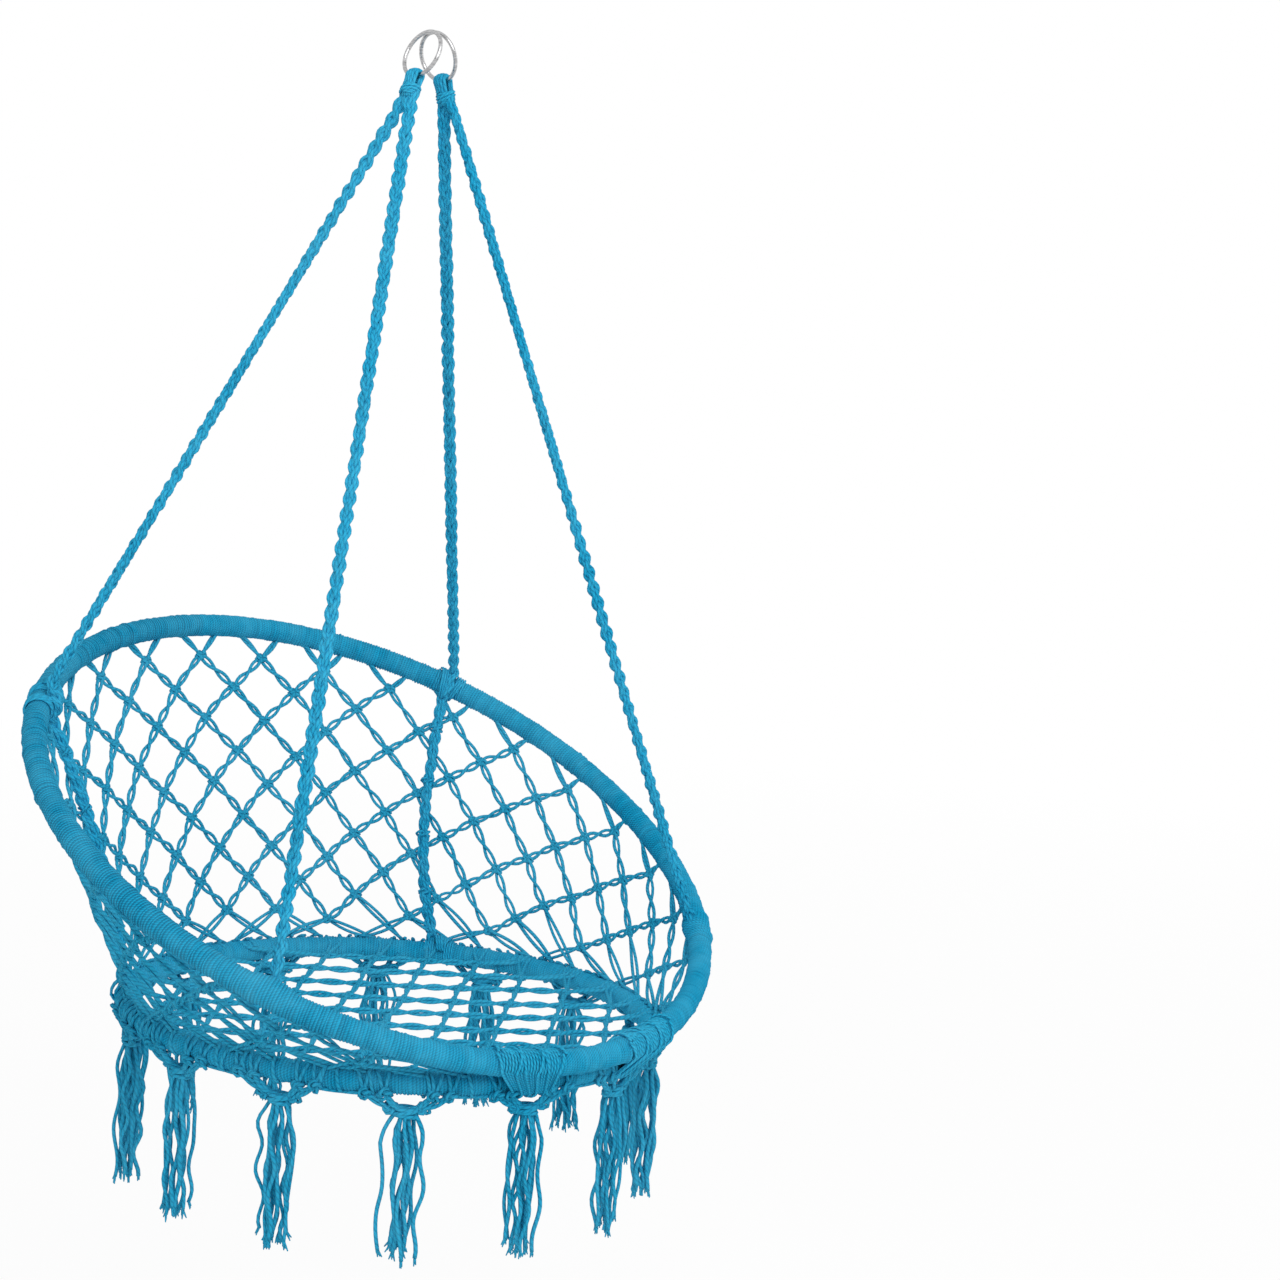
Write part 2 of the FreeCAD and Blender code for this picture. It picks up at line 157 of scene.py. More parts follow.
def framesOf(line, axis=None):
    # The way ahead at each point, and two ways across it that keep to an axis or don't twist.
    ahead = unit(np.gradient(line, axis=0))
    side = np.empty_like(line)
    if axis is not None:
        side = unit(np.cross(axis, ahead))
        return ahead, side, np.cross(ahead, side)
    start = np.cross(ahead[0], up if abs(ahead[0][2]) < 0.8 else np.array([1.0, 0.0, 0.0]))
    side[0] = unit(start)
    for k in range(1, len(line)):
        turned = side[k - 1] - ahead[k] * (side[k - 1] @ ahead[k])
        side[k] = turned / math.sqrt(turned @ turned)
    return ahead, side, np.cross(ahead, side)


def addTube(work, line, radius, around=6, axis=None, closed=False):
    # One cord. Its map runs in metres along the cord, and once across for the way round it.
    line = np.asarray(line, float)
    if closed:
        padded = np.vstack([line[-1:], line, line[:1]])
        ahead, side, over = (part[1:-1] for part in framesOf(padded, axis))
    else:
        ahead, side, over = framesOf(line, axis)
    count = len(line)
    turn = np.arange(around) * 2 * math.pi / around
    radii = np.broadcast_to(np.asarray(radius, float), (count,))[:, None, None]
    ring = np.cos(turn)[None, :, None] * side[:, None] + np.sin(turn)[None, :, None] * over[:, None]
    points = (line[:, None] + radii * ring).reshape(-1, 3)
    first = work["count"]
    rows = count if closed else count - 1
    step = np.linalg.norm(np.roll(line, -1, 0) - line, axis=1)
    run = np.concatenate([[0], np.cumsum(step)])
    for k in range(rows):
        low = first + k * around
        high = first + (k + 1) % count * around
        for j in range(around):
            after = (j + 1) % around
            work["faces"].append((low + j, low + after, high + after, high + j))
            near, far = j / around, (j + 1) / around
            work["uvs"] += [(run[k], near), (run[k], far), (run[k + 1], far), (run[k + 1], near)]
    if not closed:
        start = [first + j for j in range(around)]
        end = [point + (count - 1) * around for point in start]
        work["faces"] += [tuple(reversed(start)), tuple(end)]
        work["uvs"] += [(0.0, 0.0)] * around + [(run[-2], 0.0)] * around
    work["points"].append(points)
    work["count"] += len(points)


def finishPiece(piece, body, material, nodes):
    # Gives a piece its finish and its body, and hides the CAD nodes that it stands for.
    piece.data.materials.clear()
    piece.data.materials.append(material)
    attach(piece, body)
    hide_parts(*nodes)


def makePiece(name, work, body, material, nodes):
    mesh = bpy.data.meshes.new(name)
    mesh.from_pydata(np.vstack(work["points"]).tolist(), [], work["faces"])
    layer = mesh.uv_layers.new(name="cordMap")
    layer.data.foreach_set("uv", np.asarray(work["uvs"], np.float32).ravel())
    mesh.polygons.foreach_set("use_smooth", [True] * len(mesh.polygons))
    mesh.update()
    piece = bpy.data.objects.new(name, mesh)
    bpy.context.scene.collection.objects.link(piece)
    finishPiece(piece, body, material, nodes)


pattern = {
    "crownWidth": 0.55,
    "fibreScale": 1500.0,
    "fibreShare": 0.9,
    "fibreHeight": 0.35,
    "patchScale": 55.0,
    "dyeScale": 7.0,
    "patchStart": 0.72,
    "patchContrast": 1.6,
    "toneScale": 14.0,
    "edgeFall": 2.5,
}


def cordGroup():
    # The look of plied cotton cord: its plies, with painted shade in the grooves between them and
    # along the edges of each turn of a winding, its fibres and its uneven dye.
    group = bpy.data.node_groups.new("pliedCotton", "ShaderNodeTree")
    # The second colour is painted shade: a darker copy of the crown colour, for the grooves between
    # the plies.
    for name, kind, value in (
        ("Crown Colour", "NodeSocketColor", (0.02, 0.3, 0.5, 1)),
        ("Groove Colour", "NodeSocketColor", (0.005, 0.1, 0.2, 1)),
        ("Worn Colour", "NodeSocketColor", (0.1, 0.4, 0.6, 1)),
        ("Ply Length", "NodeSocketFloat", 0.006),
        ("Plies", "NodeSocketFloat", 2.0),
        ("Wear", "NodeSocketFloat", 0.3),
        ("Edge Shade", "NodeSocketFloat", 0.0),
        ("Tone Spread", "NodeSocketFloat", 0.3),
    ):
        socket = group.interface.new_socket(name=name, in_out="INPUT", socket_type=kind)
        socket.default_value = value
    group.interface.new_socket(name="Colour", in_out="OUTPUT", socket_type="NodeSocketColor")
    group.interface.new_socket(name="Height", in_out="OUTPUT", socket_type="NodeSocketFloat")
    nodes, links = group.nodes, group.links
    given = nodes.new("NodeGroupInput")
    made = nodes.new("NodeGroupOutput")
    place = nodes.new("ShaderNodeTexCoord")
    split = nodes.new("ShaderNodeSeparateXYZ")
    links.new(place.outputs["UV"], split.inputs[0])
    alongCord, acrossCord = split.outputs["X"], split.outputs["Y"]

    def calculate(operation, *values, clamp=False):
        node = nodes.new("ShaderNodeMath")
        node.operation = operation
        node.use_clamp = clamp
        for socket, value in zip(node.inputs, values):
            if isinstance(value, (int, float)):
                socket.default_value = value
            else:
                links.new(value, socket)
        return node.outputs[0]

    def noise(scale, detail, roughness=0.5):
        node = nodes.new("ShaderNodeTexNoise")
        node.inputs["Scale"].default_value = scale
        node.inputs["Detail"].default_value = detail
        node.inputs["Roughness"].default_value = roughness
        links.new(place.outputs["Object"], node.inputs["Vector"])
        return node.outputs["Fac"]

    def mix(share, first, second):
        node = nodes.new("ShaderNodeMix")
        node.data_type = "RGBA"
        links.new(share, node.inputs["Factor"])
        links.new(first, node.inputs["A"])
        links.new(second, node.inputs["B"])
        return node.outputs["Result"]

    # Plies wind round the cord: the cord's own colour on their crowns, and painted shade, a darker
    # copy of it, in the grooves between them.
    lengths = calculate("DIVIDE", alongCord, given.outputs["Ply Length"])
    turns = calculate("MULTIPLY", acrossCord, given.outputs["Plies"])
    phase = calculate("FRACT", calculate("ADD", lengths, turns))
    ply = calculate("SINE", calculate("MULTIPLY", phase, math.pi))
    crown = calculate("POWER", ply, pattern["crownWidth"])
    fibre = noise(pattern["fibreScale"], 3.0, 0.7)
    fuzz = calculate("MULTIPLY_ADD", fibre, pattern["fibreShare"], -pattern["fibreShare"] / 2)

    # The dye differs from one stretch of cord to the next.
    tone = nodes.new("ShaderNodeTexNoise")
    tone.noise_dimensions = "1D"
    tone.inputs["Scale"].default_value = 1.0
    links.new(calculate("MULTIPLY", alongCord, pattern["toneScale"]), tone.inputs["W"])
    evenTone = calculate("SUBTRACT", tone.outputs["Fac"], 0.5)
    toneShare = calculate("MULTIPLY", evenTone, given.outputs["Tone Spread"])

    # Painted shade where one turn of a winding meets the next: darker towards both edges of each turn.
    fromMiddle = calculate("ABSOLUTE", calculate("MULTIPLY_ADD", acrossCord, 2.0, -1.0))
    shade = calculate("POWER", fromMiddle, pattern["edgeFall"])
    edge = calculate("MULTIPLY", shade, given.outputs["Edge Shade"])

    bright = calculate("ADD", calculate("ADD", crown, fuzz), toneShare)
    share = calculate("SUBTRACT", bright, edge, clamp=True)
    # Painted shade: the grooves take the darker colour, the crowns the cord's own.
    shadedPlies = mix(share, given.outputs["Groove Colour"], given.outputs["Crown Colour"])

    # Paler worn patches.
    patches = calculate("ADD", noise(pattern["patchScale"], 3.0), noise(pattern["dyeScale"], 2.0))
    over = calculate("SUBTRACT", patches, pattern["patchStart"])
    patchShare = calculate("MULTIPLY", over, pattern["patchContrast"], clamp=True)
    worn = calculate("MULTIPLY", patchShare, given.outputs["Wear"])
    links.new(mix(worn, shadedPlies, given.outputs["Worn Colour"]), made.inputs["Colour"])
    height = calculate("MULTIPLY_ADD", fibre, pattern["fibreHeight"], crown)
    links.new(height, made.inputs["Height"])
    return group


pliedCotton = cordGroup()


def cottonCord(name, values):
    material = bpy.data.materials.new(name)
    material.use_nodes = True
    nodes, links = material.node_tree.nodes, material.node_tree.links
    shader = nodes["Principled BSDF"]
    shader.inputs["Roughness"].default_value = values["roughness"]
    shader.inputs["Specular IOR Level"].default_value = values["gloss"]
    shader.inputs["Sheen Weight"].default_value = values["fuzz"]
    shader.inputs["Sheen Roughness"].default_value = 0.5
    shader.inputs["Sheen Tint"].default_value = (*values["worn"], 1)
    cotton = nodes.new("ShaderNodeGroup")
    cotton.node_tree = pliedCotton
    for key in ("crown", "groove", "worn"):
        cotton.inputs[f"{key.title()} Colour"].default_value = (*values[key], 1)
    for socket, key in (
        ("Ply Length", "plyLength"),
        ("Plies", "plies"),
        ("Wear", "wear"),
        ("Edge Shade", "edgeShade"),
        ("Tone Spread", "toneSpread"),
    ):
        cotton.inputs[socket].default_value = values[key]
    bump = nodes.new("ShaderNodeBump")
    bump.inputs["Strength"].default_value = values["bump"]
    bump.inputs["Distance"].default_value = values["plyDepth"]
    links.new(cotton.outputs["Height"], bump.inputs["Height"])
    links.new(bump.outputs["Normal"], shader.inputs["Normal"])
    links.new(cotton.outputs["Colour"], shader.inputs["Base Color"])
    return material


# The groove colour is painted shade, a darker copy of the crown colour; the worn colour is real wear.
dyesAndShade = {
    "crown": (0.012, 0.375, 0.610),
    "groove": (0.003, 0.120, 0.230),
    "worn": (0.095, 0.520, 0.740),
    "roughness": 0.90,
    "gloss": 0.10,
    "fuzz": 0.08,
    "wear": 0.35,
    "bump": 0.6,
    "plyLength": 0.0062,
    "plies": 2.0,
    "plyDepth": 0.0005,
    "edgeShade": 0.0,
    "toneSpread": 0.5,
}
# The winding has painted shade along both edges of each turn.
windingCord = cottonCord(
    "windingCord",
    {**dyesAndShade, "crown": (0.004, 0.330, 0.565), "plyLength": 0.0030, "plies": 1.0, "plyDepth": 0.0003,
     "edgeShade": 0.50, "toneSpread": 0.8},
)
ropeCord = cottonCord("ropeCord", {**dyesAndShade, "crown": (0.010, 0.350, 0.590), "plyLength": 0.0075})
netCord = cottonCord("netCord", {**dyesAndShade, "crown": (0.014, 0.330, 0.535)})
tasselCord = cottonCord("tasselCord", {**dyesAndShade, "crown": (0.010, 0.310, 0.515), "plyLength": 0.0070})
lashingCord = cottonCord("lashingCord", {**dyesAndShade, "plyLength": 0.0055})


def steel(name, values):
    # Bare or painted steel with fine scratches.
    material = bpy.data.materials.new(name)
    material.use_nodes = True
    nodes, links = material.node_tree.nodes, material.node_tree.links
    shader = nodes["Principled BSDF"]
    shader.inputs["Metallic"].default_value = values["metallic"]
    place = nodes.new("ShaderNodeTexCoord")
    stretch = nodes.new("ShaderNodeMapping")
    stretch.inputs["Scale"].default_value = (1.0, 1.0, values["grain"])
    scratches = nodes.new("ShaderNodeTexNoise")
    scratches.inputs["Scale"].default_value = values["scratchScale"]
    scratches.inputs["Detail"].default_value = 4.0
    links.new(place.outputs["Object"], stretch.inputs["Vector"])
    links.new(stretch.outputs["Vector"], scratches.inputs["Vector"])
    rough = nodes.new("ShaderNodeMapRange")
    rough.inputs["To Min"].default_value = values["smoothest"]
    rough.inputs["To Max"].default_value = values["roughest"]
    links.new(scratches.outputs["Fac"], rough.inputs["Value"])
    links.new(rough.outputs["Result"], shader.inputs["Roughness"])
    tone = nodes.new("ShaderNodeMix")
    tone.data_type = "RGBA"
    tone.inputs["A"].default_value = (*values["dark"], 1)
    tone.inputs["B"].default_value = (*values["light"], 1)
    links.new(scratches.outputs["Fac"], tone.inputs["Factor"])
    links.new(tone.outputs["Result"], shader.inputs["Base Color"])
    bump = nodes.new("ShaderNodeBump")
    bump.inputs["Strength"].default_value = values["bump"]
    bump.inputs["Distance"].default_value = values["scratchDepth"]
    links.new(scratches.outputs["Fac"], bump.inputs["Height"])
    links.new(bump.outputs["Normal"], shader.inputs["Normal"])
    return material


scratched = {"grain": 6.0, "bump": 0.15, "scratchDepth": 0.0001}
ringSteel = steel(
    "ringSteel",
    {**scratched, "metallic": 1.0, "smoothest": 0.08, "roughest": 0.25, "scratchScale": 170.0,
     "dark": (0.02, 0.02, 0.02), "light": (0.90, 0.90, 0.91)},
)
hoopSteel = steel(
    "hoopSteel",
    {**scratched, "metallic": 0.6, "smoothest": 0.35, "roughest": 0.60, "scratchScale": 90.0,
     "dark": (0.20, 0.21, 0.22), "light": (0.33, 0.34, 0.35)},
)
for node, finish in (
    ("hanging_ring_left", ringSteel),
    ("hanging_ring_right", ringSteel),
    ("back_hoop_tube", hoopSteel),
    ("seat_hoop_tube", hoopSteel),
):
    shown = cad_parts[node]
    shown.data.materials.clear()
    shown.data.materials.append(finish)
print("finishes made")


winding = {
    "pitch": 0.0033,
    "ridge": 0.0011,
    "ridgeShape": (0.0, 0.80, 1.0, 0.80),  # the height of one turn, point by point across it
    "around": 16,
    "unevenness": 0.34,
    "heights": (0.5, 1.6),
    "proudShare": 0.04,  # of the turns stand proud of the others
    "proud": 1.6,
    "slip": 0.60,
    "lean": 1.4,
    "leanTowards": 70,
    "sway": 0.15,
}


def windHoop(name, seed, swells, nodes):
    # One long cord laid round the tube, turn beside turn. A sheet is rolled into the ring, slanted by
    # one turn, so that its ridges join into a single helix.
    hoop = hoops[name]
    turns = int(round(2 * math.pi * hoop["radius"] / winding["pitch"]))
    around, perTurn = winding["around"], len(winding["ridgeShape"])
    stations = turns * perTurn
    bpy.ops.object.select_all(action="DESELECT")
    bpy.ops.mesh.primitive_grid_add(x_subdivisions=stations, y_subdivisions=around, size=2)
    piece = bpy.context.active_object
    piece.name = piece.data.name = f"{name}HoopWinding"
    mesh = piece.data
    sheet = np.empty(len(mesh.vertices) * 3, np.float32)
    mesh.vertices.foreach_get("co", sheet)
    sheet = (sheet.reshape(-1, 3) + 1) / 2
    station = np.rint(sheet[:, 0] * stations).astype(int)
    share = np.rint(sheet[:, 1] * around) / around
    facing = 360 * share
    turn = station // perTurn % turns

    def carried(values):
        # Each turn's own value, led over into the next turn's along the cord.
        return values[turn] * (1 - share) + values[(turn + 1) % turns] * share

    draw = np.random.default_rng(seed)
    height = np.clip(1 + winding["unevenness"] * draw.standard_normal(turns), *winding["heights"])
    height *= np.where(draw.random(turns) < winding["proudShare"], winding["proud"], 1.0)
    slip = carried(winding["slip"] * draw.standard_normal(turns))
    wave = carried(draw.random(turns) * 360)
    ridge = np.array(winding["ridgeShape"])[station % perTurn]
    lift = ridge * winding["ridge"] * carried(height)
    lift *= 1 + winding["sway"] * np.sin(np.radians(2 * facing + wave))
    lean = winding["lean"] * np.sin(np.radians(facing + winding["leanTowards"]))
    lean = lean + slip * np.sin(np.radians(facing + wave))
    angle = (station + perTurn * share + lean) * 360 / stations
    out = hoop["cover"] - winding["ridge"] + lift
    for where, towards, size, width, focus in swells:
        apart = (angle - where + 180) % 360 - 180
        toward = (0.5 + 0.5 * np.cos(np.radians(facing - towards))) ** focus
        out = out + size * np.exp(-((apart / width) ** 2)) * toward
    mesh.vertices.foreach_set("co", onHoop(name, angle, out, facing).astype(np.float32).ravel())
    # The map runs round the tube in metres, on from turn to turn, and once across each turn.
    layer = mesh.uv_layers.active
    spread = np.empty(len(layer.data) * 2, np.float32)
    layer.data.foreach_get("uv", spread)
    spread = spread.reshape(-1, 4, 2)
    place = spread[:, :, 0] * turns
    own = np.floor(place.min(axis=1, keepdims=True) + 0.01)
    length = 2 * math.pi * hoop["cover"]
    spread = np.stack([(own + spread[:, :, 1]) * length, place - own], -1)
    layer.data.foreach_set("uv", spread.astype(np.float32).ravel())
    mesh.polygons.foreach_set("use_smooth", [True] * len(mesh.polygons))
    bpy.ops.object.mode_set(mode="EDIT")
    bpy.ops.mesh.select_all(action="SELECT")
    bpy.ops.mesh.remove_doubles(threshold=0.00001)
    bpy.ops.mesh.normals_make_consistent(inside=False)
    bpy.ops.object.mode_set(mode="OBJECT")
    finishPiece(piece, "chair", windingCord, nodes)


net = {
    "columns": 28,
    "firstRow": 0.035,
    "rowPitch": 0.037,
    "shortest": 0.0241,
    "topSpread": 0.28,
    "topOpen": 0.0016,
    "topTied": (0.011, 225),  # out from the middle of the tube, and facing where
    "rimSpread": 0.9,
    "rimFacing": 60,
    "wrapOut": 0.001,
    "wrapLead": 1.2,
    "wrapTurn": (62, -70),
    "cord": 0.00195,
    "open": 0.0028,
    "knot": 0.00185,
    "jitter": 0.0016,
    "slant": 0.2,
}
columnStep = 360 / net["columns"]

# Cords under a winding lift it: which way the lift faces, its height, its width in degrees along the
# hoop, and how sharp it is round the tube. The front ropes end there, and have how far along first.
lifts = {
    "netCord": (225, 0.0012, 0.45, 2),
    "seatCord": (45, 0.0010, 0.6, 2),
    "frontRope": (
        (0.0, 150, 0.0062, 2.3, 1.5),
        (2.6, 60, 0.0022, 0.6, 0.5),
        (-2.4, 60, 0.0018, 0.5, 0.5),
    ),
    "backColumns": 10,
    "seatHalfColumns": 24,
}
backSwells = [
    ((column + way * net["topSpread"]) * columnStep, *lifts["netCord"])
    for column in range(-lifts["backColumns"], lifts["backColumns"] + 1)
    for way in (-1, 1)
]
for way in (-1, 1):
    for shift, *lift in lifts["frontRope"]:
        backSwells.append((way * (tieAngles["front"] + shift), *lift))
windHoop("back", 11, backSwells, ["back_hoop_winding", "hitch_front_left", "hitch_front_right"])
seatSwells = [
    (half * columnStep / 2, *lifts["seatCord"])
    for half in range(-lifts["seatHalfColumns"], lifts["seatHalfColumns"] + 1)
]
windHoop("seat", 12, seatSwells, ["seat_hoop_winding"])
print("hoops wound")


knotForm = {"points": 22, "stretch": 1.25, "squash": 0.85}
pairForm = {"openness": (0.8, 1.25), "bow": 0.0015, "apart": 1.02, "thickness": (0.92, 1.08)}


def addKnot(work, middle, right, outward, size, cord, stretch=knotForm["stretch"]):
    # A tight knot, drawn out a little from side to side.
    t = np.linspace(0, 2 * math.pi, knotForm["points"], endpoint=False)
    right, outward = unit(right), unit(outward)
    across = np.cross(outward, right)
    reach = 2 + np.cos(3 * t)
    x = size * stretch * reach * np.cos(2 * t)
    y = size * knotForm["squash"] * reach * np.sin(2 * t)
    z = size * np.sin(3 * t)
    line = middle + x[:, None] * right + y[:, None] * across + z[:, None] * outward
    addTube(work, line, cord, 5, axis=outward, closed=True)


def addPair(work, start, end, outward, draw, cord, spread, waves=1.0, count=11):
    # Two cords that open into a lens, cross and open again.
    line = np.linspace(start, end, count)
    t = np.linspace(0, 1, count)
    ahead = unit(end - start)
    across = unit(np.cross(outward, ahead))
    lift = np.cross(ahead, across)
    openness = draw.uniform(*pairForm["openness"])
    bow = draw.uniform(-pairForm["bow"], pairForm["bow"]) * np.sin(math.pi * t)
    phase = 2 * math.pi * waves * t
    aside = spread * openness * np.sin(phase)
    over = cord * pairForm["apart"] * np.cos(phase)
    for way in (-1, 1):
        path = line + (way * aside + bow)[:, None] * across + (way * over)[:, None] * lift
        addTube(work, path, cord * draw.uniform(*pairForm["thickness"]))


def backNet():
    draw = random.Random(21)
    work = newWork()
    last = net["columns"] // 2
    cord = net["cord"]
    knots = {}

    def dropOf(row):
        return net["firstRow"] + row * net["rowPitch"]

    # Knots stand in every half column, in odd rows in one and in even rows in the next.
    for half in range(-2 * last, 2 * last):
        angle, row = half / 2 * columnStep, half % 2
        while dropOf(row) < gapAt(angle) - net["shortest"]:
            shift = np.array([draw.uniform(-net["jitter"], net["jitter"]) for _ in range(3)])
            knots[half, row] = onNet(angle, dropOf(row)) + shift
            row += 2
    for (half, row), here in knots.items():
        column = half / 2
        angle = column * columnStep
        roundWay = onHoop("back", angle + 1) - onHoop("back", angle)
        downWay = onHoop("seat", angle) - onHoop("back", angle)
        outward = unit(np.cross(roundWay, downWay))
        right = unit(roundWay) + unit(downWay) * draw.uniform(-net["slant"], net["slant"])
        addKnot(work, here, right, outward, net["knot"], cord)
        if row == 0:
            for way in (-1, 1):
                topAngle = (column + way * net["topSpread"]) * columnStep
                top = onHoop("back", topAngle, *net["topTied"])
                addPair(work, here, top, outward, draw, cord, net["topOpen"], 0.5, 6)
        for way in (-1, 1):
            below = knots.get(((half + way + 2 * last) % (4 * last) - 2 * last, row + 1))
            if below is None:
                # The last pair of a column goes to the seat hoop and over it.
                left = (gapAt(angle) - dropOf(row)) / net["rowPitch"]
                foot = (column + way * min(left, net["rimSpread"])) * columnStep
                rim = onHoop("seat", foot, hoops["seat"]["cover"], net["rimFacing"])
                addPair(work, here, rim, outward, draw, cord, net["open"], 0.5, 8)
                over = onHoop("seat", foot + np.linspace(0, way * net["wrapLead"], 9),
                              hoops["seat"]["cover"] + net["wrapOut"],
                              np.linspace(*net["wrapTurn"], 9))
                addTube(work, over, cord)
            else:
                addPair(work, here, below, outward, draw, cord, net["open"])
    panels = ["back_net_centre"]
    panels += [f"back_net_{side}_{place}" for side in sides for place in range(1, 6)]
    makePiece("backNet", work, "chair", netCord, panels)


backNet()
print("back net knotted")


seat = {
    "halfWidth": 0.046,
    "halfDepth": 0.037,
    "cord": 0.0020,
    "open": 0.0011,
    "knot": 0.0017,
    "jitter": 0.003,
    "slant": 0.5,
    "slack": 0.004,
    "clearOfRim": 0.005,
    "rimSpread": 1.1,
    "wrapLead": 1.4,
    "wrapTurn": (150, 60),
    "bedded": 0.0006,
    "step": 0.006,
}


def seatNet():
    draw = random.Random(31)
    work = newWork()
    hoop = hoops["seat"]
    inside = hoop["radius"] - hoop["cover"] - seat["clearOfRim"]
    lean = hoop["tilt"]
    forward = np.array([0.0, math.cos(lean), math.sin(lean)])
    normal = np.array([0.0, -math.sin(lean), math.cos(lean)])
    jitter = seat["jitter"]

    def placeAt(x, y):
        dip = seat["slack"] * (1 - (x * x + y * y) / inside ** 2)
        return hoop["centre"] + np.array([x, 0.0, 0.0]) + forward * y - normal * dip

    def tieToRim(here, angle):
        # One cord out to the rim, and up over it.
        inner, top = seat["wrapTurn"]
        for spread in (-seat["rimSpread"], seat["rimSpread"]):
            rim = onHoop("seat", angle + spread, hoop["cover"] - seat["bedded"], inner)
            over = onHoop("seat", angle + spread * seat["wrapLead"] + np.zeros(6),
                          hoop["cover"] + seat["bedded"], np.linspace(inner, top, 6))
            line = smooth([here, here * 0.5 + rim * 0.5, rim, over[2], over[5]], 2)
            addTube(work, evenly(line, seat["step"]), seat["cord"])

    width, depth = seat["halfWidth"], seat["halfDepth"]
    rows, columns = int(inside / depth), int(inside / width) + 1
    flat = {}
    for row in range(-rows, rows + 1):
        for column in range(-columns, columns + 1):
            x, y = (column + row % 2 * 0.5) * 2 * width, row * depth
            if math.hypot(x, y) < inside:
                x += draw.uniform(-jitter, jitter)
                y += draw.uniform(-jitter, jitter)
                flat[2 * column + row % 2, row] = (x, y)
    for (column, row), (x, y) in flat.items():
        here = placeAt(x, y)
        for across in (-1, 1):
            for along in (-1, 1):
                there = flat.get((column + across, row + along))
                if there is None:
                    way = np.array([across * width, along * depth])
                    way /= np.hypot(*way)
                    near = x * way[0] + y * way[1]
                    left = math.sqrt(near * near + hoop["radius"] ** 2 - x * x - y * y) - near
                    rimX, rimY = x + way[0] * left, y + way[1] * left
                    tieToRim(here, math.degrees(math.atan2(rimX, rimY)))
                elif along > 0:
                    addPair(work, here, placeAt(*there), normal, draw, seat["cord"], seat["open"])
        right = np.array([1.0, draw.uniform(-seat["slant"], seat["slant"]), 0.0])
        addKnot(work, here, right, normal, seat["knot"], seat["cord"])
    makePiece("seatNet", work, "chair", netCord, ["seat_net"])


seatNet()
print("seat net knotted")


plait = {
    "period": 0.052,
    "width": 0.0038,
    "thickness": 0.0022,
    "bundle": 0.0020,
    "cord": 0.0020,
    "lay": 0.070,
    "step": 0.0032,
    "twist": (0.25, 0.3),  # how much, and over what length of rope
    "sway": (0.25, 0.07),
    "uneven": (0.08, 0.11),
}


def addPlait(work, line, seed):
    # Three strands of three cords each, plaited along a line.
    draw = random.Random(seed)
    line = evenly(line, plait["step"])
    ahead, side, over = framesOf(line)
    run = np.arange(len(line)) * plait["step"]
    twist, twistOver = plait["twist"]
    sway, swayOver = plait["sway"]
    uneven, unevenOver = plait["uneven"]
    roll = draw.uniform(0, 6) + twist * run / twistOver
    roll = roll + sway * np.sin(run / swayOver + draw.uniform(0, 6))
    across = np.cos(roll)[:, None] * side + np.sin(roll)[:, None] * over
    lift = np.cross(ahead, across)
    width = plait["width"] * (1 + uneven * np.sin(run / unevenOver + draw.uniform(0, 6)))
    for strand in range(3):
        phase = 2 * math.pi * (run / plait["period"] + strand / 3)
        middle = (
            line
            + (width * np.sin(phase))[:, None] * across
            + (plait["thickness"] * np.sin(2 * phase))[:, None] * lift
        )
        for cord in range(3):
            lay = 2 * math.pi * (run / plait["lay"] + cord / 3) + strand
            path = (
                middle
                + (plait["bundle"] * np.cos(lay))[:, None] * across
                + (plait["bundle"] * np.sin(lay))[:, None] * lift
            )
            addTube(work, path, plait["cord"])


rope = {
    "top": 0.072,
    "tucked": 0.006,
    "bulge": 0.014,
    "gap": 0.0066,  # from the middle to each rope, where they leave the whipping
    "frontOut": 0.013,
    "frontFacing": 150,
    "backOut": 0.0195,
    "backFacing": (95, 130, 175, 215),
}


def ropes():
    seed = 40
    for end, way in (("front", -1), ("back", 1)):
        for name, side in sides.items():
            seed += 1
            work = newWork()
            start = belowHook(side, rope["top"] - rope["tucked"])
            start = start + np.array([0, way * rope["gap"] * 0.7, 0])
            bulge = belowHook(side, rope["top"] + rope["bulge"])
            bulge = bulge + np.array([0, way * rope["gap"] * 1.3, 0])
            angle = side * tieAngles[end]
            near = bulge + (onHoop("back", angle) - bulge) * 0.05
            if end == "front":
                foot = [onHoop("back", angle, rope["frontOut"], rope["frontFacing"])]
            else:
                facing = np.array(rope["backFacing"])
                foot = onHoop("back", angle + np.zeros(len(facing)), rope["backOut"], facing)
            line = smooth(np.vstack([start, bulge, near, near + (foot[0] - near) * 0.9, foot]), 2)
            addPlait(work, line, seed)
            makePiece(f"{end}Rope{name.title()}", work, "chair", ropeCord,
                      [f"rope_{end}_{name}"])


ropes()


lowerRope = {
    "topOut": 0.0185,
    "topFacing": 215,
    "onNet": ((48, 0.25), (47, 0.5), (48, 0.75)),  # angles, and shares of the way down
    "inside": 0.009,
    "footAngle": 51,
    "footOut": 0.013,
    "footFacing": 60,
    "knots": (0.14, 0.36, 0.58, 0.80),
    "knot": 0.0026,
    "knotCord": 0.0016,
}


def lowerLine(side):
    # From the back hoop down through the net to the seat hoop.
    top = onHoop("back", side * tieAngles["back"], lowerRope["topOut"], lowerRope["topFacing"])
    points = [top]
    for angle, share in lowerRope["onNet"]:
        spot = onNet(side * angle, share * gapAt(side * angle))
        inward = unit(np.array([-spot[0], hoops["seat"]["centre"][1] - spot[1], 0.0]))
        points.append(spot + inward * lowerRope["inside"])
    foot = side * lowerRope["footAngle"]
    points.append(onHoop("seat", foot, lowerRope["footOut"], lowerRope["footFacing"]))
    return smooth(points, 3)


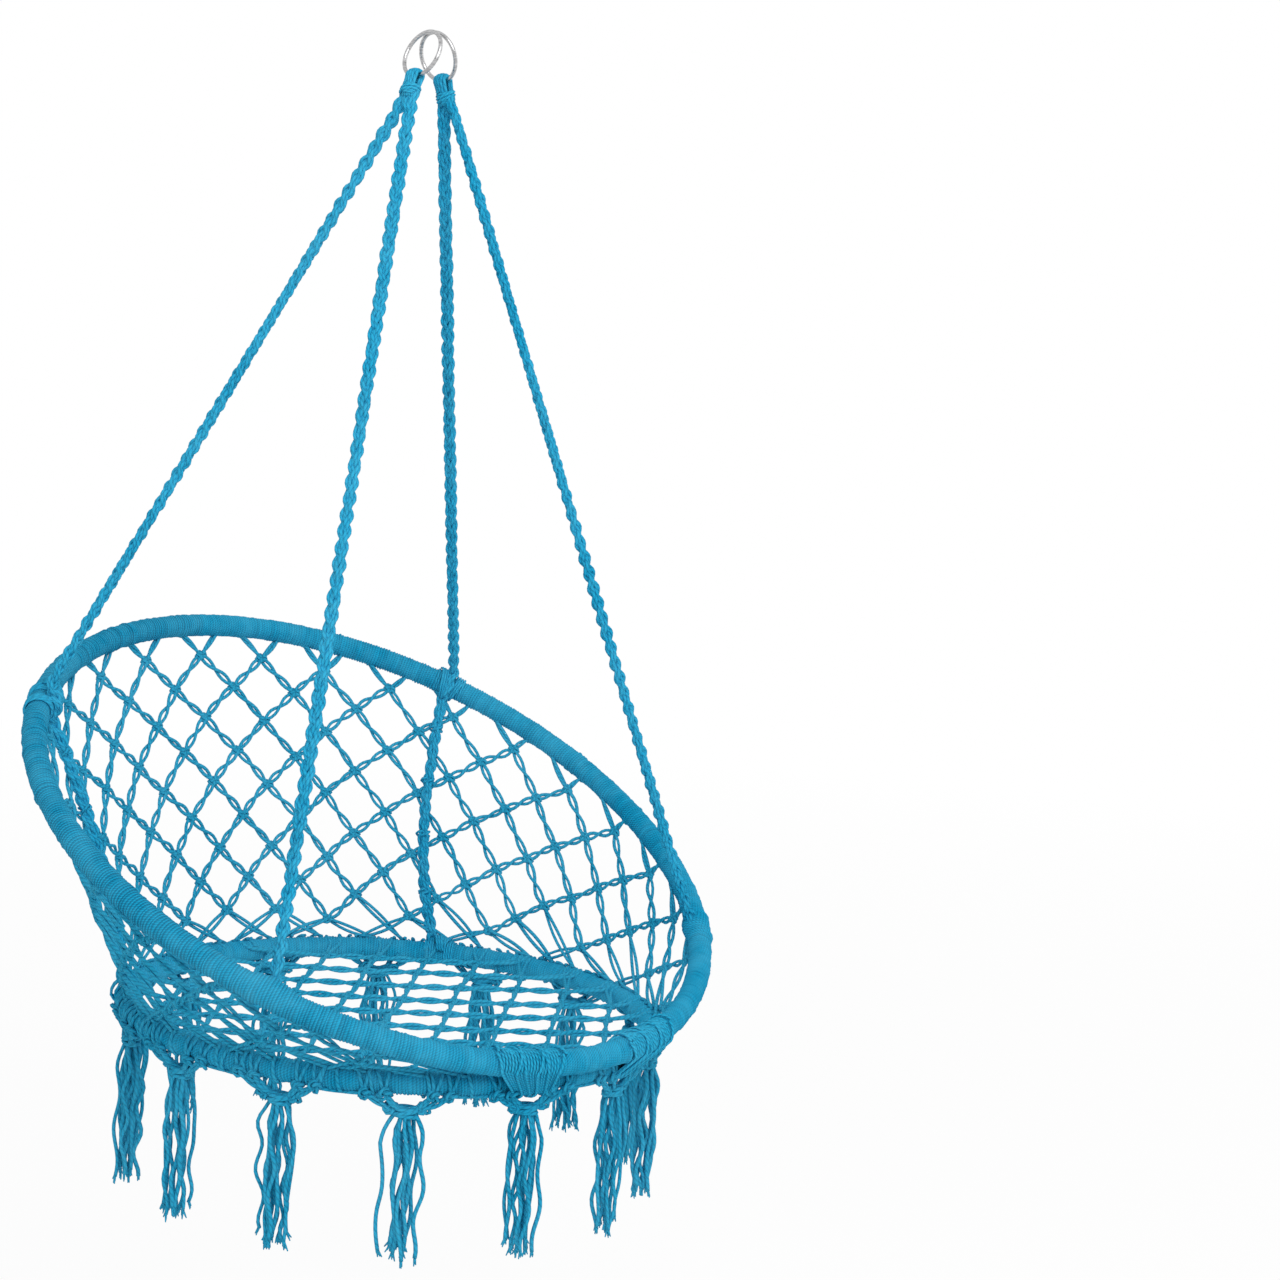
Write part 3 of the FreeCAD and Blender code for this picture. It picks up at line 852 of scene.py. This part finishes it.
def lowerRopes():
    for seed, (name, side) in enumerate(sides.items(), 51):
        work = newWork()
        line = lowerLine(side)
        addPlait(work, line, seed)
        tied = evenly(line, 0.004)
        ahead = unit(np.gradient(tied, axis=0))
        for share in lowerRope["knots"]:
            place = int(share * (len(tied) - 1))
            right = unit(np.cross(ahead[place], up))
            addKnot(work, tied[place], right, ahead[place], lowerRope["knot"],
                    lowerRope["knotCord"], 1.1)
        makePiece(f"lowerRope{name.title()}", work, "chair", ropeCord,
                  [f"rope_back_lower_{name}"])


lowerRopes()
print("ropes plaited")


fold = {
    "cords": 9,
    "cord": 0.00185,
    "spacing": 0.0018,
    "inner": 0.0042,
    "outer": 0.0068,
    "top": 0.049,
    "foot": 0.074,
    "flatten": 0.28,
    "squeeze": 0.30,
}


def foldOver(name, side):
    # The rope's cords, side by side over the ring's wire and drawn together below it.
    work = newWork()
    down = pull(side)
    across = np.cross(np.array([0.0, 1.0, 0.0]), down)
    onWire = belowHook(side, fold["top"])
    length = fold["foot"] - fold["top"]
    widest = (fold["cords"] - 1) / 2
    turn = np.linspace(0, math.pi, 11)
    depth = np.linspace(length, 0.004, 8)
    squeeze = 1 - fold["squeeze"] * (depth / length)
    leg = np.outer(depth, down)
    spread = np.concatenate([squeeze, np.ones(len(turn)), squeeze[::-1]])
    for number in range(fold["cords"]):
        bend = fold["inner"] if number % 2 else fold["outer"]
        aside = (number - widest) * fold["spacing"]
        bend *= 1 - fold["flatten"] * (aside / (widest * fold["spacing"])) ** 2
        arc = onWire - np.outer(np.cos(turn), across) * bend - np.outer(np.sin(turn), down) * bend
        legs = [onWire + leg + np.outer(way * bend * squeeze, across) for way in (-1, 1)]
        line = np.vstack([legs[0], arc, legs[1][::-1]])
        line[:, 1] += aside * spread
        addTube(work, line, fold["cord"])
    makePiece(f"ropeFold{name.title()}", work, "chair", ropeCord,
              [f"rope_eye_{name}"])


whip = {"cord": 0.0014, "turns": 5, "top": 0.0590, "foot": 0.0705, "wide": 0.0088, "deep": 0.0082}


def whipping(name, side):
    # Close turns round the rope's two parts, and two looser ones slanting over them.
    work = newWork()
    down = pull(side)
    along = np.array([0.0, 1.0, 0.0])
    across = np.cross(along, down)

    def wind(turns, top, foot, grow=0.0, lean=0.0, start=0.0):
        t = np.linspace(0, turns, int(turns * 18))
        turn = 2 * math.pi * t + start
        depth = top + (foot - top) * t / turns + lean * np.sin(turn)
        line = (
            belowHook(side, 0.0)
            + np.outer(depth, down)
            + np.outer((whip["deep"] + grow) * np.cos(turn), across)
            + np.outer((whip["wide"] + grow) * np.sin(turn), along)
        )
        addTube(work, line, whip["cord"])

    wind(whip["turns"], whip["top"], whip["foot"])
    wind(2.0, whip["top"] + 0.003, whip["foot"] - 0.002, grow=0.0012, lean=0.0025, start=1.0)
    makePiece(f"whipping{name.title()}", work, "chair", lashingCord,
              [f"whipping_{name}"])


for sideName, sideSign in sides.items():
    foldOver(sideName, sideSign)
    whipping(sideName, sideSign)
print("folds whipped")


# Bands are measured along the hoop from the rope. The bands across it lie on the layers below them.
hitch = {
    "cord": 0.0015,
    "uneven": (-0.0003, 0.0004),
    "tuck": 0.0045,
    "tuckOver": 0.06,
    "bedded": 0.8,
    "layerRise": 1.7,
    "facing": {"back": 170, "seat": 60},
    "beside": ((-0.019, 0.004), (0.005, 0.004)),
    "besideCords": 4,
    "across": (
        {"start": -0.016, "lead": 0.030, "turns": 0.55, "layer": 2.6, "first": -100},
        {"start": 0.010, "lead": -0.022, "turns": 0.45, "layer": 1.2, "first": -70},
    ),
    "acrossCords": 3,
}


def addBand(work, hoop, angle, start, lead, turns, layer, cords, seed, first):
    # Cords side by side, wound round a hoop as one band, their ends tucked under.
    draw = random.Random(seed)
    cord = hitch["cord"]
    t = np.linspace(0, turns, int(turns * 20) + 1)
    ends = np.exp(-((t / hitch["tuckOver"]) ** 2)) + np.exp(-(((turns - t) / hitch["tuckOver"]) ** 2))
    height = hoops[hoop]["cover"] + cord * (hitch["bedded"] + hitch["layerRise"] * layer)
    for number in range(cords):
        offset = start + number * 2.0 * cord + lead * t
        out = height + draw.uniform(*hitch["uneven"])
        line = onHoop(hoop, angle + hoopDegrees(hoop, offset), out - hitch["tuck"] * ends,
                      first + 360 * t)
        addTube(work, line, cord)


def hitchOn(label, hoop, angle, side, node, seed):
    # Two groups of turns beside the rope, and a few cords slanting across it on the inner face.
    work = newWork()
    for number, (start, lead) in enumerate(hitch["beside"]):
        addBand(work, hoop, angle, start, lead, 1.0, 0, hitch["besideCords"], seed + number, -120)
    for number, band in enumerate(hitch["across"], 2):
        first = hitch["facing"][hoop] + band["first"]
        addBand(work, hoop, angle, band["start"] * side, band["lead"] * side, band["turns"],
                band["layer"], hitch["acrossCords"], seed + number, first)
    makePiece(label, work, "chair", ropeCord, [node])


seedNow = 70
for sideName, sideSign in sides.items():
    title = sideName.title()
    hitchOn(f"backHitch{title}", "back", sideSign * tieAngles["back"], sideSign,
            f"hitch_back_{sideName}", seedNow)
    hitchOn(f"seatHitch{title}", "seat", sideSign * tieAngles["seat"], sideSign,
            f"seat_hitch_{sideName}", seedNow + 8)
    seedNow += 12


# Starts and ends are in half widths of the lashing.
lashing = {
    "cord": 0.00145,
    "turns": 19,
    "width": 0.054,
    "back": 0.085,
    "seat": 0.062,
    "fan": {"back": 1.25, "seat": 0.80},
    "loose": (
        {"start": -1.25, "end": 1.2, "grow": 0.0020},
        {"start": 1.15, "end": -1.1, "grow": 0.0028},
    ),
    "looseTurns": 3,
    "tails": {"back": (60, 1, 0.030), "seat": (-60, -1, 0.026)},  # facing, way round and reach
    "tailCords": 4,
    "tailStart": 0.7,
    "tailFan": (0.4, 0.22),
    "tailTurn": (20, 150, 12),
    "tailTuck": (0.003, 0.12),
    "bedded": 0.8,
    "perTurn": 24,
}


def lashFront(name, side):
    # Turns round both hoops together, then loose turns that cross over them, then the tails.
    work = newWork()
    cord = lashing["cord"]
    angles = {
        hoop: 180 - side * math.degrees(math.asin(lashing[hoop] / hoops[hoop]["radius"]))
        for hoop in hoops
    }

    def wind(turns, start, end, grow):
        path = []
        samples = lashing["perTurn"]
        total = int(turns * samples)
        for k in range(total + 1):
            offset = start + (end - start) * (k / total)
            middle = {
                hoop: onHoop(hoop, angles[hoop] + hoopDegrees(hoop, offset * fan))
                for hoop, fan in lashing["fan"].items()
            }
            tangent = unit(onHoop("back", angles["back"] + 1) - onHoop("back", angles["back"] - 1))
            between = middle["back"] - middle["seat"]
            between = unit(between - tangent * (between @ tangent))
            beside = np.cross(tangent, between)
            turn = 2 * math.pi * (k % samples) / samples
            hoop = "back" if math.cos(turn) > 0 else "seat"
            out = hoops[hoop]["cover"] + cord + grow
            path.append(
                middle[hoop] + out * (math.cos(turn) * between + math.sin(turn) * beside)
            )
        addTube(work, smooth(path, 1), cord)

    half = lashing["width"] / 2
    wind(lashing["turns"], -half, half, 0.0)
    for turns in lashing["loose"]:
        wind(lashing["looseTurns"], turns["start"] * half, turns["end"] * half, turns["grow"])
    t = np.linspace(0, 1, 16)
    depth, tuckOver = lashing["tailTuck"]
    tuck = depth * np.exp(-(((1 - t) / tuckOver) ** 2))
    fan, fanStep = lashing["tailFan"]
    begin, sweep, shorter = lashing["tailTurn"]
    for hoop, (facing, handed, reach) in lashing["tails"].items():
        for way in (-1, 1):
            for number in range(lashing["tailCords"]):
                offset = way * (half * lashing["tailStart"] + (fan + fanStep * number) * reach * t)
                turn = facing + handed * (begin + (sweep - shorter * number) * t)
                out = hoops[hoop]["cover"] + cord * lashing["bedded"] - tuck
                addTube(work, onHoop(hoop, angles[hoop] + hoopDegrees(hoop, offset), out, turn), cord)
    makePiece(f"frontLashing{name.title()}", work, "chair", lashingCord,
              [f"front_lashing_{name}"])


for sideName, sideSign in sides.items():
    lashFront(sideName, sideSign)
print("hitches and lashings tied")


tassel = {
    "count": 14,
    "headRadius": 0.0095,
    "headWide": 0.0110,
    "headDeep": 0.0078,
    "headTurns": ((0.0, -0.003, 0.10), (0.0006, 0.0005, -0.16), (0.0002, 0.0035, 0.06)),
    "cords": 12,
    "outerCords": (0, 3, 5, 8, 10),
    "cord": 0.00215,
    "length": 0.146,
    "shortest": 0.90,
    "headingJitter": 0.3,
    "spread": 0.0215,
    "flatten": 0.75,
    "thickness": (0.85, 1.1),
    "outerReach": (0.65, 1.0),
    "innerReach": (0.15, 0.62),
    "wave": (0.0014, 0.0036),
    "waves": (1.2, 3.2),
    "step": 0.0060,
    "frayed": 4,
    "frayedCord": (0.0014, 0.0011, 0.0006),
}


def tasselAngle(number):
    return 180 - (number + 0.5) * 360 / tassel["count"]


def headOf(number):
    low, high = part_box(f"tassel_{number + 1:02d}")
    return np.array([(low[0] + high[0]) / 2, (low[1] + high[1]) / 2, high[2] - tassel["headRadius"]])


# Each pair: how much of the way to the next tassel it reaches, where on the tube it is tied, and how
# far it opens.
garland = {
    "cord": 0.0020,
    "knot": 0.0023,
    "pairs": ((0.34, -40, 0.0032), (0.66, -34, 0.0034)),
    "reachJitter": 0.05,
    "facingJitter": 8,
    "liftJitter": 0.0015,
    "thickness": (0.92, 1.06),
    "slant": 0.8,
    "knotOut": 0.0032,
    "wrapOut": 0.0016,
    "wrapTop": 84,
    "sag": 0.0035,
    "rise": 0.0025,
    "underAngles": (3.0, 4.5),
    "underTurn": (-60, -165),
    "underOut": 0.0012,
    "step": 0.0045,
}


def hangGarland():
    # The cords between the tassels, tied up on the seat hoop.
    draw = random.Random(91)
    work = newWork()
    cover = hoops["seat"]["cover"]
    halfStep = 180 / tassel["count"]
    cord = garland["cord"]

    def jitter(name):
        return draw.uniform(-garland[name], garland[name])

    for number in range(tassel["count"]):
        angle = tasselAngle(number)
        head = headOf(number)
        outward = unit(onHoop("seat", angle, 1.0, 0) - onHoop("seat", angle))
        along = np.cross(up, outward)
        for way in (-1, 1):
            # The inner pair climbs to a knot on the face of the hoop, the outer pair to the next one.
            for reach, height, spread in garland["pairs"]:
                end = angle + way * halfStep * (reach + jitter("reachJitter"))
                tied = onHoop("seat", end, cover + garland["knotOut"], height + jitter("facingJitter"))
                for strand in (-1, 1):
                    lift = jitter("liftJitter")
                    gather = head + up * 0.003 + along * way * 0.004 + outward * strand * 0.003
                    sag = head * 0.70 + tied * 0.30 + up * (strand * spread - garland["sag"])
                    rise = head * 0.35 + tied * 0.65 - up * (strand * spread + garland["rise"])
                    line = smooth([gather, sag, rise + outward * lift, tied], 3)
                    thickness = cord * draw.uniform(*garland["thickness"])
                    addTube(work, evenly(line, garland["step"]), thickness)
                    at = end + way * np.linspace(0, strand * 1.4 + 0.6, 9)
                    over = onHoop("seat", at, cover + garland["wrapOut"],
                                  np.linspace(height, garland["wrapTop"], 9))
                    addTube(work, over, cord * 0.95)
                facing = unit(tied - onHoop("seat", end))
                slant = np.cross(facing, onHoop("seat", end + 1) - onHoop("seat", end))
                slant = unit(slant) + along * jitter("slant")
                addKnot(work, tied, slant, facing, garland["knot"], cord, 1.2)
            # A turn under the hoop, beside the tassel.
            under = onHoop("seat", angle + way * np.linspace(*garland["underAngles"], 8),
                           cover + garland["underOut"], np.linspace(*garland["underTurn"], 8))
            addTube(work, under, cord * 0.9)
            reach, height = garland["pairs"][1][:2]
            outer = onHoop("seat", angle + way * halfStep * reach, cover, height)
            middle = head * 0.62 + outer * 0.38
            addKnot(work, middle - up * 0.0040, along + up * 0.5 * way, outward,
                    garland["knot"] * 0.95, cord, 1.15)
            # A cord that keeps to the underside of the hoop, on to the next tassel.
            share = np.linspace(0.60, 1.0, 12)
            line = onHoop("seat", angle + way * halfStep * share, cover + 0.0010,
                          -52 - 30 * (share - 0.6) / 0.4)
            addTube(work, line, cord)
    makePiece("garland", work, "chair", tasselCord, ["tassel_hangers"])


hangGarland()
print("garland hung")


def hangTassel(number):
    # Loose cords from one gathering knot, each with its own bends and a frayed end.
    draw = random.Random(200 + number)
    work = newWork()
    head = headOf(number)
    facing = math.radians(tasselAngle(number))
    outward = np.array([math.sin(facing), math.cos(facing), 0.0])
    right = np.cross(outward, up)
    jitter = tassel["headingJitter"]
    for cord in range(tassel["cords"]):
        heading = 2 * math.pi * (cord + draw.uniform(-jitter, jitter)) / tassel["cords"]
        outer = cord in tassel["outerCords"]
        reach = tassel["spread"] * draw.uniform(*tassel["outerReach" if outer else "innerReach"])
        length = tassel["length"] * draw.uniform(tassel["shortest"], 1.0)
        t = np.linspace(0, 1, int(length / tassel["step"]) + 1)
        way = right * math.cos(heading) + outward * math.sin(heading) * tassel["flatten"]
        # The cords spread below the knot, and draw in again towards their ends.
        fall = 0.42 + 0.58 * np.minimum(1, t / 0.22) ** 0.7
        tuck = 1 - draw.uniform(0.05, 0.45) * np.clip((t - 0.45) / 0.55, 0, 1)
        size = reach * fall * tuck
        waves = []
        for _ in range(2):
            bend = draw.uniform(*tassel["wave"])
            turns = t * draw.uniform(*tassel["waves"]) + draw.random()
            waves.append(bend * np.sin(2 * math.pi * turns))
        ease = np.minimum(1, t / 0.15)
        line = (
            head
            + np.outer(size, way)
            + np.outer(waves[0] * ease, right)
            + np.outer(waves[1] * ease, outward)
            - np.outer(length * t, up)
        )
        start = head + way * reach * 0.22 + up * (0.004 if outer else 0.0)
        line = np.vstack([start, line])
        addTube(work, line, tassel["cord"] * draw.uniform(*tassel["thickness"]))
        for _ in range(tassel["frayed"]):
            splay = way * draw.uniform(-0.5, 0.9) + right * draw.uniform(-0.8, 0.8)
            tip = line[-1] - up * draw.uniform(0.003, 0.008) + splay * 0.0045
            fray = np.linspace(line[-1] + up * 0.002, tip, 3)
            addTube(work, fray, tassel["frayedCord"], 5)
    t = np.linspace(0, 2 * math.pi, 20, endpoint=False)
    for grow, lift, lean in tassel["headTurns"]:
        line = (
            head
            + np.outer((tassel["headWide"] + grow) * np.cos(t), right)
            + np.outer((tassel["headDeep"] + grow) * np.sin(t), outward)
            + np.outer(lift + lean * 0.011 * np.cos(t), up)
        )
        addTube(work, line, tassel["cord"], axis=up, closed=True)
    name = f"tassel_{number + 1:02d}"
    makePiece(f"tassel{number + 1:02d}", work, name, tasselCord, [name])


for place in range(tassel["count"]):
    hangTassel(place)
print("tassels hung")


studio = {
    "floorDrop": 0.30,
    "floor": (0.93, 0.93, 0.93),
    "plain": 0.91,
    "fadeStart": 1.5,
    "fadeEnd": 6.0,
    "sky": 0.66,
    "aimHeight": 0.35,
    "keyLight": {"place": (-1.6, -2.6, 1.6), "size": 2.4, "power": 78.0},
    "fillLight": {"place": (2.8, -1.8, 0.3), "size": 2.6, "power": 14.0},
}


def anySeen(nodes, links):
    # 1 where the camera sees the surface, itself or in metal or glass.
    rays = nodes.new("ShaderNodeLightPath")
    seen = rays.outputs["Is Camera Ray"]
    for other in ("Is Glossy Ray", "Is Transmission Ray"):
        either = nodes.new("ShaderNodeMath")
        either.operation = "MAXIMUM"
        links.new(seen, either.inputs[0])
        links.new(rays.outputs[other], either.inputs[1])
        seen = either.outputs[0]
    return seen


def layFloor():
    # A pale floor that fades to plain white further out.
    low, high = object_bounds()
    bpy.ops.object.select_all(action="DESELECT")
    bpy.ops.mesh.primitive_plane_add(size=80, location=(0, 0, low[2] - studio["floorDrop"]))
    floor = bpy.context.active_object
    floor.name = "floor"
    material = bpy.data.materials.new("paleFloor")
    material.use_nodes = True
    shader = material.node_tree.nodes["Principled BSDF"]
    shader.inputs["Base Color"].default_value = (*studio["floor"], 1)
    shader.inputs["Roughness"].default_value = 0.9
    shader.inputs["Specular IOR Level"].default_value = 0.1
    nodes, links = material.node_tree.nodes, material.node_tree.links
    plain = nodes.new("ShaderNodeEmission")
    plain.inputs["Color"].default_value = (1, 1, 1, 1)
    place = nodes.new("ShaderNodeTexCoord")
    away = nodes.new("ShaderNodeVectorMath")
    away.operation = "LENGTH"
    links.new(place.outputs["Object"], away.inputs[0])
    fade = nodes.new("ShaderNodeMapRange")
    fade.inputs["From Min"].default_value = studio["fadeStart"]
    fade.inputs["From Max"].default_value = studio["fadeEnd"]
    fade.inputs["To Min"].default_value = studio["plain"]
    links.new(away.outputs["Value"], fade.inputs["Value"])
    share = nodes.new("ShaderNodeMath")
    share.operation = "MULTIPLY"
    links.new(fade.outputs["Result"], share.inputs[1])
    links.new(anySeen(nodes, links), share.inputs[0])
    both = nodes.new("ShaderNodeMixShader")
    links.new(share.outputs[0], both.inputs["Fac"])
    links.new(shader.outputs[0], both.inputs[1])
    links.new(plain.outputs[0], both.inputs[2])
    links.new(both.outputs[0], nodes["Material Output"].inputs["Surface"])
    floor.data.materials.append(material)


def lightRoom():
    # Even light from all round, behind a plain white background.
    world = bpy.data.worlds.new("softRoom")
    bpy.context.scene.world = world
    world.use_nodes = True
    nodes, links = world.node_tree.nodes, world.node_tree.links
    ambient = nodes["Background"]
    ambient.inputs["Color"].default_value = (1, 1, 1, 1)
    ambient.inputs["Strength"].default_value = studio["sky"]
    seen = nodes.new("ShaderNodeBackground")
    seen.inputs["Color"].default_value = (1, 1, 1, 1)
    mixed = nodes.new("ShaderNodeMixShader")
    links.new(anySeen(nodes, links), mixed.inputs["Fac"])
    links.new(ambient.outputs[0], mixed.inputs[1])
    links.new(seen.outputs[0], mixed.inputs[2])
    links.new(mixed.outputs[0], nodes["World Output"].inputs["Surface"])


def lamp(name):
    values = studio[name]
    aim = hoops["seat"]["centre"] + np.array([0, 0, studio["aimHeight"]])
    bpy.ops.object.light_add(type="AREA", location=values["place"])
    light = bpy.context.active_object
    light.name = name
    light.data.size = values["size"]
    light.data.energy = values["power"]
    towards = Vector(aim) - Vector(values["place"])
    light.rotation_euler = towards.to_track_quat("-Z", "Y").to_euler()


layFloor()
lightRoom()
lamp("keyLight")
lamp("fillLight")

camera = {
    "place": (-1.8585, -2.0565, -0.3861),
    "azimuth": -47.49,
    "elevation": 4.89,
    "roll": 3.79,
    "lens": 72.84,
    "sensor": 36.0,
    "nearest": 0.05,
    "furthest": 200.0,
}


def setCamera():
    data = bpy.data.cameras.new("camera")
    eye = bpy.data.objects.new("camera", data)
    bpy.context.scene.collection.objects.link(eye)
    data.lens = camera["lens"]
    data.sensor_width = camera["sensor"]
    data.clip_start = camera["nearest"]
    data.clip_end = camera["furthest"]
    azimuth, elevation = math.radians(camera["azimuth"]), math.radians(camera["elevation"])
    level = math.cos(elevation)
    back = Vector((math.sin(azimuth) * level, -math.cos(azimuth) * level, math.sin(elevation)))
    roll = Matrix.Rotation(math.radians(camera["roll"]), 3, "Z").to_quaternion()
    eye.rotation_mode = "QUATERNION"
    eye.rotation_quaternion = back.to_track_quat("Z", "Y") @ roll
    eye.location = camera["place"]
    bpy.context.scene.camera = eye


setCamera()
bpy.context.scene.view_settings.view_transform = "Standard"

print("scene ready")
